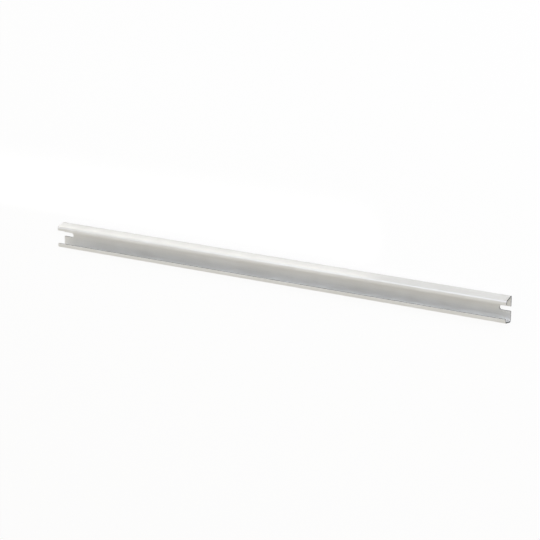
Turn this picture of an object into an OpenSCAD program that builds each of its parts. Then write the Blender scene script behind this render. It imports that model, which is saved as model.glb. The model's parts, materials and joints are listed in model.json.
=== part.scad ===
// C-profile rail: one strip of steel, roll-formed to a C with leaning flanges and cut off square.
// The rail lies on its web with the mouth up. X runs along the rail, Y across it and Z out of the mouth.
// The origin is on the back of the web, halfway along and halfway across.

/* [Rail] */
// Length of the rail from end to end
rail_length = 575; // [100:5:2000]
// Overall width of the rail, across the bends beside the web
rail_width = 30; // [27:0.5:60]
// Depth from the back of the web to the front of the lips
rail_depth = 15; // [10:0.5:25]
// Clear width of the mouth between the two lips
mouth_width = 16; // [8:0.5:19]

/* [Strip] */
// Thickness of the strip
strip_t = 1.5; // [1:0.1:2]
// Inside radius of the four bends
bend_r = 1; // [0.5:0.1:2]
// Lean of each flange towards the middle of the rail, in degrees
flange_lean = 11; // [0:0.5:15]

/* [End slots] */
// Width of the open slot in each end of the web
slot_width = 5.3; // [4:0.1:8]
// Depth of a slot from the end of the rail to the top of its round end
slot_depth = 13; // [8:0.5:30]

/* [Hidden] */
$fn = 64;
// Outside radius of the bends
bend_outer_r = bend_r + strip_t;
// Turn of the strip from web to flange and from flange to lip: a lip ends up parallel to the web
web_turn = 90 + flange_lean;
lip_turn = 90 - flange_lean;
// Length that a bend takes off the outside of a flat, measured from the corner before it is rounded
web_setback = bend_outer_r * tan(web_turn / 2);
lip_setback = bend_outer_r * tan(lip_turn / 2);
// Flat runs of the strip between the bends, from the middle of the web to the edge of a lip
web_run = rail_width / 2 - bend_outer_r;
flange_run = rail_depth / cos(flange_lean) - web_setback - lip_setback;
// Half the width over the front corners, before rounding, where the leaning flanges meet the lips
front_half_width = web_run + web_setback - rail_depth * tan(flange_lean);
lip_run = front_half_width - lip_setback - mouth_width / 2;
// Height of a slot cutter past each face of the web
cut_past = 1;

// Flat run of strip along +X, outer face at Y = 0, which carries what follows on its end
module flat(run) {
    square([run, strip_t]);
    translate([run, 0])
        children();
}

// Half of the plane around a bend, on the side of X = 0 that side gives
module half_plane(side) {
    reach = 2 * bend_outer_r;
    translate([side * reach / 2, 0])
        square([reach, 2 * reach], center = true);
}

// Bend of the strip towards its inner face, which carries what follows on its end
module bend(turn) {
    translate([0, bend_outer_r]) {
        intersection() {
            difference() {
                circle(bend_outer_r);
                circle(bend_r);
            }
            half_plane(1);
            rotate(turn)
                half_plane(-1);
        }
        rotate(turn)
            translate([0, -bend_outer_r])
                children();
    }
}

// Half of the section, from the middle of the web round to the edge of one lip
module half_section() {
    flat(web_run)
        bend(web_turn)
            flat(flange_run)
                bend(lip_turn)
                    flat(lip_run);
}

// Whole section, with the web along X and the mouth towards +Y
module section() {
    half_section();
    mirror([1, 0])
        half_section();
}

// Slot with a round inner end, open at the +X end of the rail
module end_slot() {
    cut_height = strip_t + 2 * cut_past;
    translate([rail_length / 2 - slot_depth + slot_width / 2, 0, -cut_past]) {
        cylinder(d = slot_width, h = cut_height);
        translate([0, -slot_width / 2, 0])
            cube([slot_depth, slot_width, cut_height]);
    }
}

// The rail: the section run out along X, with a slot cut into each end of the web
module c_rail() {
    color("#c8c8c4")
        difference() {
            rotate([90, 0, 90])
                linear_extrude(height = rail_length, center = true)
                    section();
            for (end = [0, 1])
                mirror([end, 0, 0])
                    end_slot();
        }
}

c_rail();
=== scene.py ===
"""Looks of the C-profile rail: a zinc-plated strip, rolled to a C, that lies on a pale studio floor.

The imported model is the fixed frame. The rail is modelled again over its node with fine bends and broken
edges and gets its finishes, and a floor, lamps and a camera at the photograph's angle are set around it.
Lengths are in metres, apart from names that end in _mm.
"""

import json
import logging
import math
from collections.abc import Callable
from dataclasses import dataclass
from enum import Enum
from typing import Any

import bmesh
import bpy
from mathutils import Matrix, Vector


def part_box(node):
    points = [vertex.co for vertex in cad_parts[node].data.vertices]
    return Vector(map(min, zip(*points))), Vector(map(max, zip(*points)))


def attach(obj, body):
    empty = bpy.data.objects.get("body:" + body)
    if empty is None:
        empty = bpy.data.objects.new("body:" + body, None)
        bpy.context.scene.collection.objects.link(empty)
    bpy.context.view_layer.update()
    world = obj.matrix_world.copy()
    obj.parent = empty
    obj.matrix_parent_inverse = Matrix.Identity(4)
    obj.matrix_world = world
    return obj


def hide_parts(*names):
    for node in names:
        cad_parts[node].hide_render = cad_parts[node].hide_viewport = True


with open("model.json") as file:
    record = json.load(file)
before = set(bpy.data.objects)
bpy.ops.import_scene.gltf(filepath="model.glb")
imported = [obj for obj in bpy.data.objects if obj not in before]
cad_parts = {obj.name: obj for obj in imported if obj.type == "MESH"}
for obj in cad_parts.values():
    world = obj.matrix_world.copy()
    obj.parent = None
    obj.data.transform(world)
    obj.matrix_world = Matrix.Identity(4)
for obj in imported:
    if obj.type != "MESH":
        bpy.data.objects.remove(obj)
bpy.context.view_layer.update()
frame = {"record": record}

LOG = logging.getLogger("c_rail")
MM = 0.001
# Places closer to each other than this are the same place.
SLIP = MM / 100
# A face looks along an axis if its normal has more than this share along it.
LOOKS_ALONG = 0.5
# Colour sockets of the Mix node, which share their names with its other sockets and so go by number.
MIX_FIRST, MIX_SECOND, MIX_RESULT = 6, 7, 2


class Surface(Enum):
    """How a face of the rail was made, with the number of its material slot."""

    ROLLED = 0
    SHEARED = 1
    SLIT = 2


class End(Enum):
    """An end of the rail, with its side of X = 0."""

    LEFT = -1
    RIGHT = 1


def linear(colour: str) -> tuple[float, float, float, float]:
    """Turn an sRGB hex colour into linear values.

    Args:
        colour: The colour, such as "#D3D2CD".

    Returns:
        Linear red, green and blue, and an alpha of 1.
    """
    shares = [int(colour[i:i + 2], 16) / 255 for i in (1, 3, 5)]
    # The sRGB curve is straight near black and a power above that.
    red, green, blue = (s / 12.92 if s <= 0.04045 else ((s + 0.055) / 1.055) ** 2.4 for s in shares)
    return red, green, blue, 1.0


def add_node(
    tree: bpy.types.NodeTree,
    kind: str,
    settings: dict[str, Any] | None = None,
    inputs: dict[str | int, Any] | None = None,
) -> bpy.types.Node:
    """Add a node to a tree, set it up and link it.

    Args:
        tree: The tree that gets the node.
        kind: The node's type, without its leading "ShaderNode".
        settings: Values of the node's own properties.
        inputs: For an input's name or number, its value or the output that feeds it.

    Returns:
        The new node.
    """
    node = tree.nodes.new("ShaderNode" + kind)
    for name, value in (settings or {}).items():
        setattr(node, name, value)
    for name, value in (inputs or {}).items():
        if isinstance(value, bpy.types.NodeSocket):
            tree.links.new(value, node.inputs[name])
        else:
            node.inputs[name].default_value = value
    return node


def new_material(name: str) -> bpy.types.Material:
    """Make a material with an empty node tree.

    Args:
        name: The material's name.

    Returns:
        The new material.
    """
    material = bpy.data.materials.new(name)
    material.use_nodes = True
    material.node_tree.nodes.clear()
    return material


def mix_colours(
    tree: bpy.types.NodeTree, share: bpy.types.NodeSocket, first: str, second: str
) -> bpy.types.NodeSocket:
    """Add a node that mixes two colours.

    Args:
        tree: The tree that gets the node.
        share: Output that gives the second colour's share.
        first: The first colour, in sRGB hex.
        second: The second colour, in sRGB hex.

    Returns:
        The output with the mixed colour.
    """
    colours = {MIX_FIRST: linear(first), MIX_SECOND: linear(second)}
    mix = add_node(tree, "Mix", {"data_type": "RGBA"}, {"Factor": share, **colours})
    return mix.outputs[MIX_RESULT]


def add_metal(
    tree: bpy.types.NodeTree,
    colour: bpy.types.NodeSocket,
    roughness: bpy.types.NodeSocket | float,
    height: bpy.types.NodeSocket,
    depth_mm: float,
) -> None:
    """Add a metal surface with a fine relief, and the output that shows it.

    Args:
        tree: The material's tree.
        colour: Output that gives the metal's colour.
        roughness: The metal's roughness, or the output that gives it.
        height: Output that gives the relief's height as a share of its depth.
        depth_mm: Depth of the relief.
    """
    relief = add_node(tree, "Bump", inputs={"Height": height, "Strength": 1.0, "Distance": depth_mm * MM})
    shader = add_node(
        tree,
        "BsdfPrincipled",
        inputs={
            "Base Color": colour,
            "Metallic": 1.0,
            "Roughness": roughness,
            "Normal": relief.outputs["Normal"],
        },
    )
    add_node(tree, "OutputMaterial", inputs={"Surface": shader.outputs[0]})


def deselect_all() -> None:
    """Deselect every object."""
    bpy.ops.object.select_all(action="DESELECT")


def work_on(piece: bpy.types.Object) -> None:
    """Make a piece the only selected object and the active one.

    Args:
        piece: The piece to work on.
    """
    deselect_all()
    piece.select_set(True)
    bpy.context.view_layer.objects.active = piece


def pick_edges(piece: bpy.types.Object, wanted: Callable[[bmesh.types.BMEdge], bool]) -> None:
    """Select the edges of a piece in edit mode that pass a test, and nothing else.

    Args:
        piece: The piece, in edit mode.
        wanted: Says whether an edge is selected.
    """
    bpy.ops.mesh.select_mode(type="EDGE")
    bpy.ops.mesh.select_all(action="DESELECT")
    mesh = bmesh.from_edit_mesh(piece.data)
    for edge in mesh.edges:
        if wanted(edge):
            edge.select_set(True)
    bmesh.update_edit_mesh(piece.data)


def pick_faces(piece: bpy.types.Object, wanted: Callable[[bmesh.types.BMFace], bool]) -> None:
    """Select the faces of a piece in edit mode that pass a test, and nothing else.

    Args:
        piece: The piece, in edit mode.
        wanted: Says whether a face is selected.
    """
    bpy.ops.mesh.select_mode(type="FACE")
    bpy.ops.mesh.select_all(action="DESELECT")
    mesh = bmesh.from_edit_mesh(piece.data)
    for face in mesh.faces:
        if wanted(face):
            face.select_set(True)
    bmesh.update_edit_mesh(piece.data)


def apply_modifier(piece: bpy.types.Object, kind: str, **settings: Any) -> None:
    """Add a modifier to a piece, set it up and apply it.

    Args:
        piece: The piece, in object mode.
        kind: The modifier's type.
        settings: Values of the modifier's own properties.
    """
    work_on(piece)
    modifier = piece.modifiers.new(kind.lower(), kind)
    for name, value in settings.items():
        setattr(modifier, name, value)
    bpy.ops.object.modifier_apply(modifier=modifier.name)


@dataclass(frozen=True)
class ZincPlating:
    """Zinc-plated cold-rolled steel strip.

    Thin zinc over rolled steel is a soft, slightly warm grey mirror: it blurs what is around it. The
    rollers leave fine lines along the rail, and the plating clouds a little from place to place.

    Attributes:
        colour: Colour of the plating.
        pale_colour: Colour where the plating is cloudy.
        gloss_range: Roughness of the brightest and of the dullest lines.
        line_width_mm: Width of the rolling lines. Real ones are finer, too fine to show.
        line_length_mm: Length over which a rolling line keeps its shade.
        line_depth_mm: Depth of the rolling lines.
        line_detail: Number of finer patterns inside the lines.
        line_grit: Strength of each finer pattern against the one before it.
        cloud_mm: Size of the clouds in the plating.
        cloud_detail: Number of finer patterns inside the clouds.
        cloud_share: Share of the clouds in the plating's shade. The rest comes from the lines.
        shade_range: Range of the shade over which the gloss changes.
    """

    colour: str = "#E1E1DE"
    pale_colour: str = "#F8F8F5"
    gloss_range: tuple[float, float] = (0.40, 0.56)
    line_width_mm: float = 0.8
    line_length_mm: float = 160.0
    line_depth_mm: float = 0.003
    line_detail: float = 3.0
    line_grit: float = 0.6
    cloud_mm: float = 22.0
    cloud_detail: float = 4.0
    cloud_share: float = 0.5
    shade_range: tuple[float, float] = (0.3, 0.7)

    def make(self) -> bpy.types.Material:
        """Make the material.

        Returns:
            The material of the rolled faces.
        """
        material = new_material("zinc_plated_rolled_steel")
        tree = material.node_tree
        place = add_node(tree, "TexCoord").outputs["Object"]
        across = 1 / (self.line_width_mm * MM)
        along = 1 / (self.line_length_mm * MM)
        stretched = add_node(tree, "Mapping", inputs={"Vector": place, "Scale": (along, across, across)})
        lines = add_node(
            tree,
            "TexNoise",
            inputs={
                "Vector": stretched.outputs[0],
                "Scale": 1.0,
                "Detail": self.line_detail,
                "Roughness": self.line_grit,
            },
        ).outputs[0]
        clouds = add_node(
            tree,
            "TexNoise",
            inputs={"Vector": place, "Scale": 1 / (self.cloud_mm * MM), "Detail": self.cloud_detail},
        ).outputs[0]
        shade = add_node(
            tree, "Mix", inputs={"Factor": self.cloud_share, "A": lines, "B": clouds}
        ).outputs["Result"]
        colour = mix_colours(tree, shade, self.colour, self.pale_colour)
        gloss = add_node(
            tree,
            "MapRange",
            inputs={
                "Value": shade,
                "From Min": self.shade_range[0],
                "From Max": self.shade_range[1],
                "To Min": self.gloss_range[0],
                "To Max": self.gloss_range[1],
            },
        ).outputs["Result"]
        add_metal(tree, colour, gloss, lines, self.line_depth_mm)
        return material


@dataclass(frozen=True)
class ShearedSteel:
    """Bare steel where the plated strip was punched and sheared off.

    The cut is torn steel with no zinc on it, so it is darker, duller and a little grainy.

    Attributes:
        name: Name of the material.
        colour: Colour of the bare steel.
        dark_colour: Colour in the torn grains.
        roughness: Roughness of the torn face.
        grain_mm: Size of the torn grains, as coarse as they need to show.
        grain_detail: Number of finer patterns inside the grains.
        grain_depth_mm: Depth of the torn grains.
    """

    name: str = "sheared_bare_steel"
    colour: str = "#747576"
    dark_colour: str = "#5C5D5E"
    roughness: float = 0.52
    grain_mm: float = 0.35
    grain_detail: float = 3.0
    grain_depth_mm: float = 0.02

    def make(self) -> bpy.types.Material:
        """Make the material.

        Returns:
            The material of the cut faces.
        """
        material = new_material(self.name)
        tree = material.node_tree
        place = add_node(tree, "TexCoord").outputs["Object"]
        grain = add_node(
            tree,
            "TexNoise",
            inputs={"Vector": place, "Scale": 1 / (self.grain_mm * MM), "Detail": self.grain_detail},
        ).outputs[0]
        colour = mix_colours(tree, grain, self.dark_colour, self.colour)
        add_metal(tree, colour, self.roughness, grain, self.grain_depth_mm)
        return material


@dataclass(frozen=True)
class SlitSteelWithPaintedShade(ShearedSteel):
    """Edges of the strip along the lips: bare slit steel, with painted shade on it.

    They are paler than a sheared end and darker than the plating, so each lip ends in a thin grey line.
    The grey stands partly for the bare steel of the cut and partly for painted shade along the lips'
    edges.
    """

    name: str = "slit_steel_with_painted_shade"
    # This grey is partly the bare slit steel and partly painted shade along each lip's edge.
    colour: str = "#989896"
    dark_colour: str = "#7E7E7C"


@dataclass(frozen=True)
class WhitePaper:
    """Matte white paper under the object.

    Paper is plain and dull. It is burnt out to white, nearly all where the camera sees it and a little
    where metal mirrors it. The shading that is left holds the object's shadow.

    Attributes:
        colour: Colour of the paper.
        seen_burn: Share of the paper's shading that is burnt out to white where it is seen.
        mirrored_burn: Share that is burnt out where metal or glass shows the paper.
    """

    colour: str = "#EBE9E3"
    seen_burn: float = 0.92
    mirrored_burn: float = 0.2

    def make(self) -> bpy.types.Material:
        """Make the material.

        Returns:
            The material of the floor.
        """
        material = new_material("matte_white_paper")
        tree = material.node_tree
        rays = add_node(tree, "LightPath").outputs
        mirrored = add_node(
            tree,
            "Math",
            {"operation": "MAXIMUM"},
            {0: rays["Is Glossy Ray"], 1: rays["Is Transmission Ray"]},
        )
        faint = add_node(
            tree, "Math", {"operation": "MULTIPLY"}, {0: mirrored.outputs[0], 1: self.mirrored_burn}
        )
        burnt = add_node(
            tree,
            "Math",
            {"operation": "MULTIPLY_ADD"},
            {0: rays["Is Camera Ray"], 1: self.seen_burn, 2: faint.outputs[0]},
        )
        paper = add_node(tree, "BsdfDiffuse", inputs={"Color": linear(self.colour)})
        white = add_node(tree, "Emission", inputs={"Color": linear("#FFFFFF"), "Strength": 1.0})
        mixed = add_node(
            tree, "MixShader", inputs={0: burnt.outputs[0], 1: paper.outputs[0], 2: white.outputs[0]}
        )
        add_node(tree, "OutputMaterial", inputs={"Surface": mixed.outputs[0]})
        return material


@dataclass
class RolledRail:
    """The rail: one strip of steel, folded to a C by rollers, slotted and sheared off at both ends.

    Attributes:
        length: Length from end to end.
        width: Overall width, across the bends beside the web.
        depth: Depth from the back of the web to the front of the lips.
        strip: Thickness of the strip.
        slot_radius: Radius of the round end of a slot.
        slot_reach: Distance of that round end's centre from the middle of the rail.
        mouth_mm: Clear width of the mouth between the lips.
        bend_mm: Inside radius of the four bends.
        lean_deg: Lean of each flange towards the middle of the rail.
        lip_round_mm: Rounding of the strip's slit edges along the lips.
        edge_break_mm: Width of the small rounding that punching and shearing leave on an edge.
        bend_steps: Faces round one bend.
        lip_steps: Faces round one rounded slit edge.
        edge_steps: Faces round one broken edge.
        slot_sides: Faces round a slot's full circle.
        edge_angle_deg: Least angle between two faces whose edge is broken.
        smooth_angle_deg: Greatest angle between two faces that are shaded as one curve.
    """

    length: float
    width: float
    depth: float
    strip: float
    slot_radius: float
    slot_reach: float
    mouth_mm: float = 16.0
    bend_mm: float = 1.0
    lean_deg: float = 11.0
    lip_round_mm: float = 0.2
    edge_break_mm: float = 0.12
    bend_steps: int = 24
    lip_steps: int = 6
    edge_steps: int = 2
    slot_sides: int = 64
    edge_angle_deg: float = 50.0
    smooth_angle_deg: float = 40.0

    @classmethod
    def from_frame(cls) -> "RolledRail":
        """Take the rail's sizes from its node and from the mount at its right end.

        Returns:
            The rail, not yet built.
        """
        low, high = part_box("c_rail")
        mounts = {mount["name"]: mount for mount in frame["record"]["mounts"]}
        slot = mounts["end_slot_right"]
        return cls(
            length=high.x - low.x,
            width=high.y - low.y,
            depth=high.z - low.z,
            strip=slot["dims"]["length_mm"] * MM,
            slot_radius=slot["dims"]["r_mm"] * MM,
            slot_reach=slot["pos_m"][0],
        )

    @property
    def bend_outer(self) -> float:
        """Outside radius of the bends."""
        return self.bend_mm * MM + self.strip

    @property
    def half_mouth(self) -> float:
        """Half of the clear width between the lips."""
        return self.mouth_mm * MM / 2

    @property
    def web_run(self) -> float:
        """Flat half width of the web, from the middle to a bend."""
        return self.width / 2 - self.bend_outer

    @property
    def folds(self) -> tuple[tuple[float, float], tuple[float, float]]:
        """Work out the two folds of one side, from the outer sizes.

        Returns:
            The turn of each bend and the flat run after it: the flange's, then the lip's.
        """
        lean = math.radians(self.lean_deg)
        web_turn = math.pi / 2 + lean
        lip_turn = math.pi / 2 - lean
        web_setback = self.bend_outer * math.tan(web_turn / 2)
        lip_setback = self.bend_outer * math.tan(lip_turn / 2)
        flange_run = self.depth / math.cos(lean) - web_setback - lip_setback
        front_half_width = self.web_run + web_setback - self.depth * math.tan(lean)
        lip_run = front_half_width - lip_setback - self.half_mouth
        return (web_turn, flange_run), (lip_turn, lip_run)

    def build(self) -> bpy.types.Object:
        """Model the rail from a flat strip.

        Returns:
            The rail's mesh object.
        """
        rail = self._lay_web()
        for side in (-1, 1):
            self._fold_side(rail, side)
        self._thicken(rail)
        self._round_lips(rail)
        for end in End:
            self._cut_slot(rail, end)
        self._mark_cuts(rail)
        self._break_edges(rail)
        return rail

    def _lay_web(self) -> bpy.types.Object:
        """Lay the back of the web down as a flat strip.

        Returns:
            The strip, in edit mode.
        """
        deselect_all()
        bpy.ops.mesh.primitive_plane_add(size=1.0, enter_editmode=True)
        rail = bpy.context.active_object
        rail.name = rail.data.name = "rolled_c_rail"
        bpy.ops.transform.resize(value=(self.length, 2 * self.web_run, 1.0))
        return rail

    def _fold_side(self, rail: bpy.types.Object, side: int) -> None:
        """Fold the strip up on one side of the web: bend, flange, bend and lip.

        Args:
            rail: The strip, in edit mode.
            side: The side of Y = 0.
        """
        foot = Vector((0.0, side * self.web_run, 0.0))
        heading = 0.0
        pick_edges(rail, lambda edge: all(abs(v.co.y - foot.y) < SLIP for v in edge.verts))
        for turn, run in self.folds:
            inward = Vector((0.0, -side * math.sin(heading), math.cos(heading)))
            centre = foot + inward * self.bend_outer
            # Spin turns clockwise about its axis, so the axis points the other way.
            bpy.ops.mesh.spin(steps=self.bend_steps, angle=turn, center=centre, axis=(-side, 0.0, 0.0))
            heading += turn
            outward = Vector((0.0, side * math.sin(heading), -math.cos(heading)))
            onward = Vector((0.0, side * math.cos(heading), math.sin(heading)))
            bpy.ops.mesh.extrude_edges_move(TRANSFORM_OT_translate={"value": onward * run})
            foot = centre + outward * self.bend_outer + onward * run

    def _thicken(self, rail: bpy.types.Object) -> None:
        """Give the folded strip its thickness, inwards from its outer face.

        Args:
            rail: The folded strip, in edit mode.
        """
        bpy.ops.mesh.select_all(action="SELECT")
        bpy.ops.mesh.remove_doubles(threshold=SLIP)
        bpy.ops.mesh.normals_make_consistent(inside=False)
        bpy.ops.object.mode_set(mode="OBJECT")
        apply_modifier(rail, "SOLIDIFY", thickness=self.strip, offset=-1.0, use_even_offset=True)

    def _round_lips(self, rail: bpy.types.Object) -> None:
        """Round the slit edges of the strip along both lips.

        Args:
            rail: The thick rail, in object mode.
        """
        work_on(rail)
        bpy.ops.object.mode_set(mode="EDIT")
        pick_edges(
            rail,
            lambda edge: edge.calc_length() > self.length / 2
            and all(abs(abs(v.co.y) - self.half_mouth) < SLIP for v in edge.verts),
        )
        bpy.ops.mesh.bevel(offset=self.lip_round_mm * MM, segments=self.lip_steps, affect="EDGES")
        bpy.ops.object.mode_set(mode="OBJECT")

    def _cut_slot(self, rail: bpy.types.Object, end: End) -> None:
        """Cut the open slot into one end of the web.

        Args:
            rail: The rail, in object mode.
            end: The end that gets the slot.
        """
        cutter_height = 4 * self.strip
        least_lean = 0.01
        deselect_all()
        bpy.ops.mesh.primitive_cylinder_add(
            vertices=self.slot_sides,
            radius=self.slot_radius,
            depth=cutter_height,
            location=(end.value * self.slot_reach, 0.0, 0.0),
            enter_editmode=True,
        )
        cutter = bpy.context.active_object
        # The cutter's flat ends do not lean towards the rail's end at all.
        pick_faces(cutter, lambda face: end.value * face.normal.x > least_lean)
        way_out = end.value * (self.length - 2 * self.slot_reach)
        bpy.ops.mesh.extrude_region_move(TRANSFORM_OT_translate={"value": (way_out, 0.0, 0.0)})
        bpy.ops.object.mode_set(mode="OBJECT")
        apply_modifier(rail, "BOOLEAN", operation="DIFFERENCE", solver="EXACT", object=cutter)
        bpy.data.objects.remove(cutter)

    def _mark_cuts(self, rail: bpy.types.Object) -> None:
        """Give the faces that were slit, punched or sheared their material slots.

        Args:
            rail: The rail, in object mode.
        """
        for face in rail.data.polygons:
            x, y, _ = face.center
            at_end = abs(x) > self.length / 2 - SLIP
            in_slot = abs(y) < self.slot_radius + SLIP and abs(face.normal.z) < LOOKS_ALONG
            on_lip = abs(abs(y) - self.half_mouth) < SLIP and abs(face.normal.y) > LOOKS_ALONG
            surface = Surface.SLIT if on_lip else Surface.ROLLED
            if at_end or in_slot:
                surface = Surface.SHEARED
            face.material_index = surface.value

    def _break_edges(self, rail: bpy.types.Object) -> None:
        """Take the sharpness off the cut edges and smooth the bends.

        Args:
            rail: The rail, in object mode.
        """
        apply_modifier(
            rail,
            "BEVEL",
            width=self.edge_break_mm * MM,
            segments=self.edge_steps,
            limit_method="ANGLE",
            angle_limit=math.radians(self.edge_angle_deg),
            use_clamp_overlap=False,
        )
        bpy.ops.object.shade_smooth_by_angle(angle=math.radians(self.smooth_angle_deg))
        apply_modifier(rail, "WEIGHTED_NORMAL", keep_sharp=True)

    def dress(
        self, rail: bpy.types.Object, plating: ZincPlating, cut: ShearedSteel, slit: SlitSteelWithPaintedShade
    ) -> None:
        """Put the finishes on the rail and seat it in the frame.

        Args:
            rail: The built rail.
            plating: Finish of the rolled faces.
            cut: Finish of the sheared ends and of the slots.
            slit: Finish of the lips' slit edges: bare steel with painted shade.
        """
        # The finishes are in the order of the slot numbers in Surface.
        for finish in (plating, cut, slit):
            rail.data.materials.append(finish.make())
        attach(rail, "root")
        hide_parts("c_rail")


@dataclass(frozen=True)
class StudioFloor:
    """Pale floor under the rail.

    Attributes:
        side: Length of the floor's sides.
        gap_mm: Gap between the floor and what lies on it, so that the faces don't flicker.
    """

    side: float = 8.0
    gap_mm: float = 0.05

    def build(self, paper: WhitePaper) -> bpy.types.Object:
        """Lay the floor.

        Args:
            paper: Finish of the floor.

        Returns:
            The floor's mesh object.
        """
        deselect_all()
        bpy.ops.mesh.primitive_plane_add(size=self.side, enter_editmode=True)
        bpy.ops.transform.translate(value=(0.0, 0.0, -self.gap_mm * MM))
        bpy.ops.object.mode_set(mode="OBJECT")
        floor = bpy.context.active_object
        floor.name = floor.data.name = "studio_floor"
        floor.data.materials.append(paper.make())
        return floor


@dataclass(frozen=True)
class SoftBox:
    """A soft lamp: a lit panel that faces a point of the rail or of the paper beside it.

    Attributes:
        name: Name of the lamp.
        place: Where its middle is.
        aim: The point that it faces.
        size: Its width and height.
        colour: Colour of its light.
        watts: Its power.
        spread_deg: Angle of its beam, which a grid in front of it narrows.
    """

    name: str
    place: tuple[float, float, float]
    aim: tuple[float, float, float]
    size: tuple[float, float]
    colour: str
    watts: float
    spread_deg: float = 180.0

    def build(self) -> bpy.types.Object:
        """Hang the lamp.

        Returns:
            The lamp object.
        """
        turn = (Vector(self.place) - Vector(self.aim)).to_track_quat("Z", "Y").to_euler()
        bpy.ops.object.light_add(type="AREA", location=self.place, rotation=turn)
        lamp = bpy.context.active_object
        lamp.name = lamp.data.name = self.name
        lamp.data.shape = "RECTANGLE"
        lamp.data.size, lamp.data.size_y = self.size
        lamp.data.color = linear(self.colour)[:3]
        lamp.data.energy = self.watts
        lamp.data.spread = math.radians(self.spread_deg)
        lamp.visible_camera = False
        return lamp


@dataclass(frozen=True)
class StudioLight:
    """Light of the studio: an even, slightly warm surround and soft boxes.

    Attributes:
        surround: Colour of the surround.
        level: Strength of the surround, where 1 is white.
        boxes: The soft boxes.
    """

    surround: str = "#FFFBF4"
    level: float = 0.68
    boxes: tuple[SoftBox, ...] = (
        SoftBox(
            name="soft_box_key",
            place=(0.69, 0.58, 0.78),
            aim=(0.0, 0.0, 0.0),
            size=(0.5, 0.5),
            colour="#DDE6FF",
            watts=6.0,
        ),
        SoftBox(
            name="soft_wall",
            place=(0.0, 1.5, 1.2),
            aim=(0.0, 0.0, 0.0),
            size=(2.0, 1.5),
            colour="#DCE5FF",
            watts=5.0,
        ),
        SoftBox(
            name="soft_box_left",
            place=(-0.32, 0.5, 0.9),
            aim=(-0.26, 0.1, 0.0),
            size=(0.45, 0.45),
            colour="#DCE5FF",
            watts=0.27,
            spread_deg=60.0,
        ),
        SoftBox(
            name="strip_on_paper",
            place=(-0.15, -0.03, 0.08),
            aim=(-0.15, 0.053, 0.0),
            size=(0.54, 0.006),
            colour="#FFFFFF",
            watts=0.09,
            spread_deg=28.0,
        ),
    )

    def build(self) -> None:
        """Light the surround and hang the soft boxes."""
        world = bpy.data.worlds.new("studio_surround")
        world.use_nodes = True
        world.node_tree.nodes.clear()
        sky = add_node(
            world.node_tree, "Background", inputs={"Color": linear(self.surround), "Strength": self.level}
        )
        add_node(world.node_tree, "OutputWorld", inputs={"Surface": sky.outputs[0]})
        bpy.context.scene.world = world
        for box in self.boxes:
            LOG.info("lamp %s", box.build().name)


@dataclass(frozen=True)
class PhotoCamera:
    """Camera at the photograph's angle.

    The photograph looks into the rail's mouth with the rail's +Y side up. The rail lies on its web here,
    so the camera looks down on it and is rolled.

    Attributes:
        swing_deg: Turn of the view from straight into the mouth towards the rail's right end.
        tilt_deg: Turn of the view from there towards the rail's +Y side.
        distance: Distance from the aim to the camera.
        aim_mm: Point in the middle of the image.
        focal_px: Focal length in pixels of the image.
        image_px: Side of the square image in pixels.
        sensor_mm: Side of the camera's sensor.
    """

    swing_deg: float = 29.144
    tilt_deg: float = 17.606
    distance: float = 2.1277
    aim_mm: tuple[float, float, float] = (2.64, 3.07, 15.0)
    focal_px: float = 1892.8
    image_px: int = 540
    sensor_mm: float = 36.0

    def build(self) -> bpy.types.Object:
        """Set the camera up and make it the scene's own.

        Returns:
            The camera object.
        """
        swing, tilt = math.radians(self.swing_deg), math.radians(self.tilt_deg)
        back = Vector((math.sin(swing) * math.cos(tilt), math.sin(tilt), math.cos(swing) * math.cos(tilt)))
        right = Vector((math.cos(swing), 0.0, -math.sin(swing)))
        turn = Matrix((right, back.cross(right), back)).transposed()
        place = Vector(self.aim_mm) * MM + back * self.distance
        bpy.ops.object.camera_add(location=place, rotation=turn.to_euler())
        camera = bpy.context.active_object
        camera.name = camera.data.name = "photo_camera"
        camera.data.sensor_width = self.sensor_mm
        camera.data.lens = self.focal_px / self.image_px * self.sensor_mm
        bpy.context.scene.camera = camera
        return camera


def main() -> None:
    """Build the rail, the floor, the lamps and the camera, in that order."""
    logging.basicConfig(level=logging.INFO, format="%(name)s: %(message)s")
    bpy.context.scene.view_settings.view_transform = "Standard"
    design = RolledRail.from_frame()
    rail = design.build()
    design.dress(rail, ZincPlating(), ShearedSteel(), SlitSteelWithPaintedShade())
    LOG.info("piece %s: %d faces", rail.name, len(rail.data.polygons))
    LOG.info("stage %s", StudioFloor().build(WhitePaper()).name)
    StudioLight().build()
    LOG.info("camera %s", PhotoCamera().build().name)


if __name__ == "__main__":
    main()
